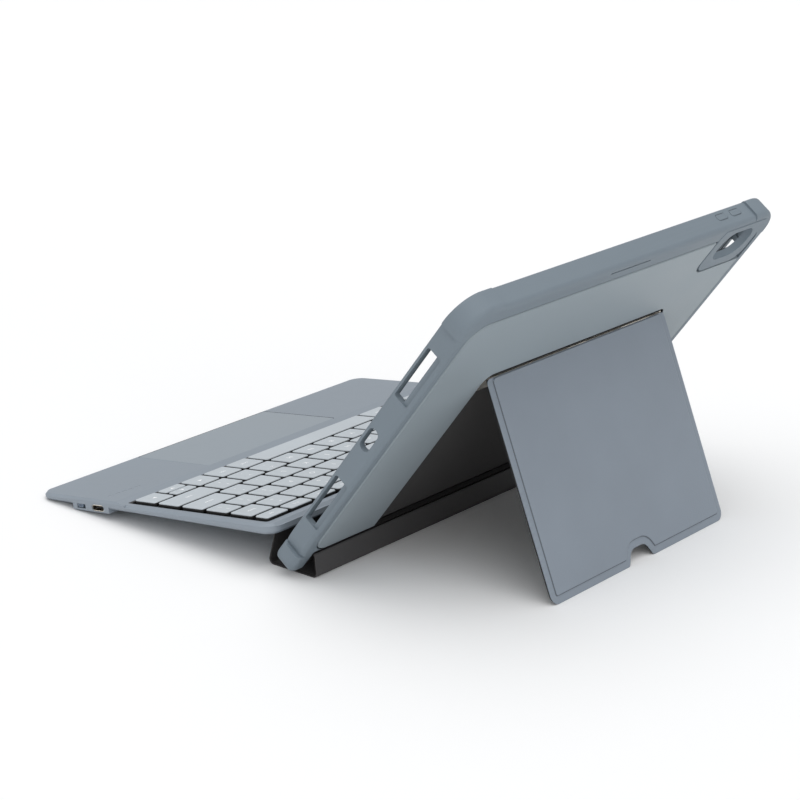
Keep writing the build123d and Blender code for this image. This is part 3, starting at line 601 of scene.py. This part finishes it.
def legend_for(word, box):
    (x0, x1), (s0, s1), (_, top) = box
    x = (x0 + x1) / 2
    s = (s0 + s1) / 2
    depth = s1 - s0
    level = top - (DISH if depth > 8 else 0.12)
    if word[:1] == "<" and len(word) == 2 and word[1].isdigit():
        return [arrow(x, s, min(2.6, 0.36 * depth), level, int(word[1]))]
    if not word:
        return []
    if len(word) == 1:
        return [glyphs(word, x, s, 4.3, level)]
    if len(word) == 2 and not word.isalpha() and word[0] != "F":
        upper = glyphs(word[1], x, s + 0.2 * depth, 3.4, level)
        return [upper, glyphs(word[0], x, s - 0.2 * depth, 3.6, level)]
    return [glyphs(word, x, s, 2.9 if depth > 9 else 2.5, level)]


for node, words in LEGENDS.items():
    body = nodes[node]["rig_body"]
    boxes = sorted((local_box(group, deck) for group in islands(node)), key=lambda b: b[0][0])
    caps = []
    prints = []
    for box, word in zip(boxes, words):
        (x0, x1), (s0, s1), (low, top) = box
        caps.append(dished_cap(x0, x1, s0, s1, low, top))
        prints += legend_for(word, box)
    points, faces = joined(caps)
    new_piece(node + "_caps", points, faces, cap_plastic, body, [node], sharp=50.0)
    prints = [p for p in prints if p[0]]
    if prints:
        points, faces = joined(prints)
        new_piece(node + "_legends", points, faces, ink, body, tidy=False)


# ------------------------------------------------------------------ kickstand
STAND_HALF = 74.5
STAND_LENGTH = 113.1
STAND_TOP_GAP = 1.4
STAND_LOW = STAND_AXIS_V - STAND_LENGTH
STAND_HIGH = STAND_AXIS_V - STAND_TOP_GAP
NOTCH_HALF = 10.5
NOTCH_DEPTH = 7.5
NOTCH_SLANT = 4.5


def stand_corners():
    notch = [
        (-NOTCH_HALF, STAND_LOW),
        (-NOTCH_HALF + NOTCH_SLANT, STAND_LOW + NOTCH_DEPTH),
        (NOTCH_HALF - NOTCH_SLANT, STAND_LOW + NOTCH_DEPTH),
        (NOTCH_HALF, STAND_LOW),
    ]
    corners = [(-STAND_HALF, STAND_LOW)] + notch + [(STAND_HALF, STAND_LOW), (STAND_HALF, STAND_HIGH)]
    corners.append((-STAND_HALF, STAND_HIGH))
    return [(STAND_X + x, v) for x, v in corners]


STAND_RADII = [5.0, 2.0, 5.5, 5.5, 2.0, 5.0, 2.6, 2.6]
STAND_SHARES = [1, 1, 1, 1, 1, 1, 0.12, 1]
STAND_PROFILE = [
    (0.5, 0.3), (0.12, 0.26), (0.0, 0.12), (0.0, -0.02),
    (0.1, -0.12), (0.3, -0.17), (2.7, -0.16), (3.1, -0.06),
    (3.4, 0.0), (3.6, -0.1), (3.95, -0.5), (4.25, -0.76), (4.7, -0.85),
]
rings = [
    ring_of(stand, stand_corners(), STAND_RADII, inset, n, STAND_SHARES, steps=9)
    for inset, n in STAND_PROFILE
]
points, faces = layered(rings)
new_piece("kickstand_leather", points, faces, leather, "kickstand", ["kickstand_skin"])

rings = [
    ring_of(stand, stand_corners(), STAND_RADII, inset, n, steps=9)
    for inset, n in ((1.6, 1.5), (1.25, 1.6), (1.2, 1.75), (1.35, 1.92), (1.7, 2.0))
]
LEAF_COVER = 13.5
leaf_edge = STAND_AXIS_V - LEAF_COVER
for ring in rings:
    for k, point in enumerate(ring):
        x, v, n = stand.local(point)
        if v > leaf_edge:
            ring[k] = stand.point(x, leaf_edge + (v - STAND_HIGH) * 0.02, n)
points, faces = layered(rings)
new_piece("kickstand_microfibre", points, faces, suede, "kickstand", ["kickstand_lining"])

# ------------------------------------------------------------------ tray linings and buttons
box = local_box([v.co for v in nodes["recess_lining"].data.vertices], tray)
points, faces = pad(tray, (*box[0], *box[1]), 5.5, box[2][0], box[2][1], 0.1)
new_piece("recess_microfibre", points, faces, suede, "tray", ["recess_lining"])

CAMERA_X, CAMERA_V, CAMERA_HALF_W, CAMERA_HALF_H = -98.0, 169.5, 14.5, 10.5
box = local_box([v.co for v in nodes["tray_lining"].data.vertices], tray)
(x0, x1), (v0, v1), (n0, n1) = box


def lining_ring(inset, n):
    """The tray lining's outline with the camera's corner left out, inset, at a height."""
    corners = [
        (x0, v0), (x1, v0), (x1, v1), (CAMERA_X + CAMERA_HALF_W, v1),
        (CAMERA_X + CAMERA_HALF_W, CAMERA_V - CAMERA_HALF_H), (x0, CAMERA_V - CAMERA_HALF_H),
    ]
    return ring_of(tray, corners, [10.0, 10.0, 10.0, 3.0, 8.0, 3.0], inset, n, steps=8)


lining_levels = ((0.5, n0), (0.12, n0 + 0.15), (0.0, n0 + 0.45), (0.12, n1 - 0.15), (0.5, n1))
rings = [lining_ring(inset, n) for inset, n in lining_levels]
points, faces = layered(rings)
new_piece("tray_microfibre", points, faces, suede, "tray", ["tray_lining"])

BUTTON_RADIUS = 1.3
BUTTON_EDGE = 0.45
for node, body in (("volume_up_button", "volume_up"), ("volume_down_button", "volume_down")):
    (x0, x1), (v0, v1), (n0, n1) = local_box([v.co for v in nodes[node].data.vertices], tray)
    face = Place(tray.origin, tray.axes[0], -tray.axes[2], tray.axes[1])
    points, faces = pad(face, (x0, x1, -n1, -n0), BUTTON_RADIUS, v0, v1, BUTTON_EDGE)
    new_piece(node + "_cap", points, faces, shell, body, [node])
(x0, x1), (v0, v1), (n0, n1) = local_box([v.co for v in nodes["power_button"].data.vertices], tray)
face = Place(tray.origin, -tray.axes[2], tray.axes[1], tray.axes[0])
points, faces = pad(face, (-n1, -n0, v0, v1), BUTTON_RADIUS, x0, x1, BUTTON_EDGE)
new_piece("power_button_cap", points, faces, shell, "power", ["power_button"])

# ------------------------------------------------------------------ touchpad, switch, socket, feet
(x0, x1), (s0, s1), (low, top) = local_box([v.co for v in nodes["touchpad_plate"].data.vertices], deck)
points, faces = pad(deck, (x0, x1, s0, s1), 1.4, low, top, 0.18)
new_piece("touchpad_glass", points, faces, glass_pad, "touchpad", ["touchpad_plate"])

(x0, x1), (s0, s1), (low, top) = local_box([v.co for v in nodes["power_switch_knob"].data.vertices], deck)
outwards = Place(deck.origin, deck.axes[1], deck.axes[2], deck.axes[0])
parts = [pad(outwards, (s0, s1, low, top), 0.6, x0, x1 - 0.4, 0.2)]
for k in range(3):
    s = (s0 + s1) / 2 - 0.9 + 0.9 * k
    grip = (s - 0.2, s + 0.2, low + 0.25, top - 0.25)
    parts.append(pad(outwards, grip, 0.15, x1 - 0.5, x1 - 0.02, 0.12, steps=3))
points, faces = joined(parts)
new_piece("power_switch_slider", points, faces, surface(
    "switch_knob", (0.2, 0.25, 0.32), 0.4, grain=[("noise", 0.15, 0.005)], mottle=(200.0, 0.04),
), "power_switch", ["power_switch_knob"])

(x0, x1), (s0, s1), (low, top) = local_box([v.co for v in nodes["usb_socket_tongue"].data.vertices], deck)
points, faces = pad(outwards, (s0, s1, low, top), 0.2, x0, x1, 0.1, steps=3)
new_piece("usb_tongue_body", points, faces, black, "keyboard", ["usb_socket_tongue"])
parts = []
for k in range(6):
    s = s0 + 0.65 + k * (s1 - s0 - 1.3) / 5
    for base, sign in ((top, 1), (low, -1)):
        m0, m1 = sorted((base - sign * 0.05, base + sign * 0.03))
        parts.append(pad(deck, (x0 + 1.0, x1 - 0.4, s - 0.16, s + 0.16), 0.1, m0, m1, 0.02, steps=2))
points, faces = joined(parts)
new_piece("usb_contacts", points, faces, brass, "keyboard")

foot_parts = []
for group in islands("rubber_feet"):
    (x0, x1), (s0, s1), (low, top) = local_box(group, deck)
    under = Place(
        deck.point(0, 0, KEYBOARD_FRONT_UNDERSIDE), ACROSS,
        deck.axes[1] * math.cos(KEYBOARD_WEDGE) - deck.axes[2] * math.sin(KEYBOARD_WEDGE),
        deck.axes[2] * math.cos(KEYBOARD_WEDGE) + deck.axes[1] * math.sin(KEYBOARD_WEDGE),
    )
    (x0, x1), (s0, s1), (low, top) = local_box(group, under)
    foot_parts.append(pad(under, (x0, x1, s0, s1), 2.8, low, top, 0.25))
points, faces = joined(foot_parts)
new_piece("rubber_pads", points, faces, rubber, "keyboard", ["rubber_feet"])

# ------------------------------------------------------------------ spine
SPINE_HALF = 118.0
SPINE_THICK = 1.4
SPINE_SKIN = 0.6
SPINE_LINING = 0.4
SPINE_FLOOR = 30.75
BEND_RUN = 4.0
(_, _), (foot_y, _), (_, _) = local_box([v.co for v in nodes["spine_stiffener"].data.vertices], flat)
foot_y -= BEND_RUN
heel_y = foot_y + SPINE_FLOOR


def path_points(distance, start_trim, end_trim):
    """The spine's section line moved outwards, with its two bends rounded, in millimetres."""
    line = [Vector((fold.y, fold.z)) / MM]
    line += [Vector((foot_y, SPINE_THICK / 2)), Vector((heel_y, SPINE_THICK / 2))]
    seam = joint_spot("tray_tilt")
    line.append(Vector((seam.y, seam.z)) / MM)
    line[0] = line[0] + (line[1] - line[0]).normalized() * start_trim
    line[3] = line[3] + (line[2] - line[3]).normalized() * end_trim
    moved = []
    for i, point in enumerate(line):
        a = (point - line[i - 1]).normalized() if i else (line[1] - point).normalized()
        b = (line[i + 1] - point).normalized() if i < 3 else a
        side_a, side_b = Vector((-a.y, a.x)), Vector((-b.y, b.x))
        middle = (side_a + side_b).normalized()
        moved.append(point - middle * (distance / middle.dot(side_a)))
    radius = 2.0 + distance
    smooth = [moved[0]]
    for i in (1, 2):
        back = (moved[i - 1] - moved[i]).normalized()
        ahead = (moved[i + 1] - moved[i]).normalized()
        opening = back.angle(ahead)
        run = radius / math.tan(opening / 2)
        centre = moved[i] + (back + ahead).normalized() * (radius / math.sin(opening / 2))
        first = moved[i] + back * run
        last = moved[i] + ahead * run
        for k in range(9):
            spoke = (first - centre).lerp(last - centre, k / 8).normalized() * radius
            smooth.append(centre + spoke)
    smooth.append(moved[3])
    return smooth


def ribbon(outer, inner, half, start_trim=0.0, end_trim=0.0, edge=0.25):
    """A strip along the spine's section, with rounded cut edges at both of its sides."""
    first = path_points(outer, start_trim, end_trim)
    second = path_points(inner, start_trim, end_trim)
    sections = []
    for x, share in ((-half, 0.3), (-half + 0.4 * edge, 0.1), (-half + edge, 0.0), (-half / 3, 0.0),
                     (half / 3, 0.0), (half - edge, 0.0), (half - 0.4 * edge, 0.1), (half, 0.3)):
        loop = [a.lerp(b, share) for a, b in zip(first, second)]
        loop += [b.lerp(a, share) for a, b in reversed(list(zip(first, second)))]
        sections.append([flat.point(x, p.x, p.y) for p in loop])
    return layered(sections)


def tube(y, z, radius, half):
    """A rolled hem along X."""
    rings = []
    for x, share in ((-half, 0.7), (-half + 0.15, 0.95), (-half + 0.4, 1.0), (half - 0.4, 1.0),
                     (half - 0.15, 0.95), (half, 0.7)):
        ring = []
        for k in range(14):
            a = 2 * math.pi * k / 14
            ring.append(flat.point(x, y + radius * share * math.cos(a), z + radius * share * math.sin(a)))
        rings.append(ring)
    return layered(rings)


outer_face = SPINE_THICK / 2
seam = joint_spot("tray_tilt")
points, faces = joined([
    ribbon(outer_face, outer_face - SPINE_SKIN, SPINE_HALF),
    tube(fold.y / MM, fold.z / MM, 0.7, SPINE_HALF),
    tube(seam.y / MM, seam.z / MM, 0.6, SPINE_HALF),
])
new_piece(
    "spine_leather_skin", points, faces, spine_leather_painted_shade, "spine", ["spine_outer_skin"], sharp=50.0,
)
points, faces = ribbon(SPINE_LINING - outer_face, -outer_face, SPINE_HALF - 0.15, 1.2, 1.2)
new_piece("spine_microfibre", points, faces, suede, "spine", ["spine_inner_lining"], sharp=50.0)

# ------------------------------------------------------------------ floor, light and camera
floor_mesh = bpy.data.meshes.new("floor")
REACH = 9.0
floor_mesh.from_pydata(
    [(-REACH, -REACH, 0), (REACH, -REACH, 0), (REACH, REACH, 0), (-REACH, REACH, 0)], [], [(0, 1, 2, 3)]
)
floor = bpy.data.objects.new("floor", floor_mesh)
bpy.context.scene.collection.objects.link(floor)
floor_mesh.materials.append(surface("floor", (0.93, 0.93, 0.93), 0.9, level=0.05, mottle=(3.0, 0.004)))

world = bpy.data.worlds.new("studio")
world.use_nodes = True
world.node_tree.nodes["Background"].inputs["Color"].default_value = (0.975, 0.985, 1.0, 1.0)
world.node_tree.nodes["Background"].inputs["Strength"].default_value = 0.5
bpy.context.scene.world = world


def soft_sun(name, towards, strength, spread):
    """An even light from far off, given by the direction it comes from."""
    sun = bpy.data.lights.new(name, "SUN")
    sun.energy = strength
    sun.angle = math.radians(spread)
    sun_object = bpy.data.objects.new(name, sun)
    sun_object.rotation_euler = Vector(towards).to_track_quat("Z", "Y").to_euler()
    bpy.context.scene.collection.objects.link(sun_object)


soft_sun("overhead", (-0.1, -0.1, 1.0), 1.2, 70)
soft_sun("behind", (0.4, 1.0, 0.85), 0.85, 60)
soft_sun("side", (1.0, -0.2, 0.7), 0.3, 60)

camera_data = bpy.data.cameras.new("camera")
camera_data.lens = 105.66
camera_data.sensor_width = 36.0
camera_data.clip_start = 0.05
camera_data.clip_end = 60.0
camera = bpy.data.objects.new("camera", camera_data)
right = Vector((-0.636948, 0.770907, 0.0))
down = Vector((0.243530, 0.201212, -0.948792))
ahead = right.cross(down) * -1
camera.matrix_world = Matrix((
    (right.x, -down.x, ahead.x, 0.90391),
    (right.y, -down.y, ahead.y, 0.74041),
    (right.z, -down.z, ahead.z, 0.44205),
    (0, 0, 0, 1),
))
bpy.context.scene.collection.objects.link(camera)
bpy.context.scene.camera = camera
bpy.context.scene.view_settings.view_transform = "Standard"
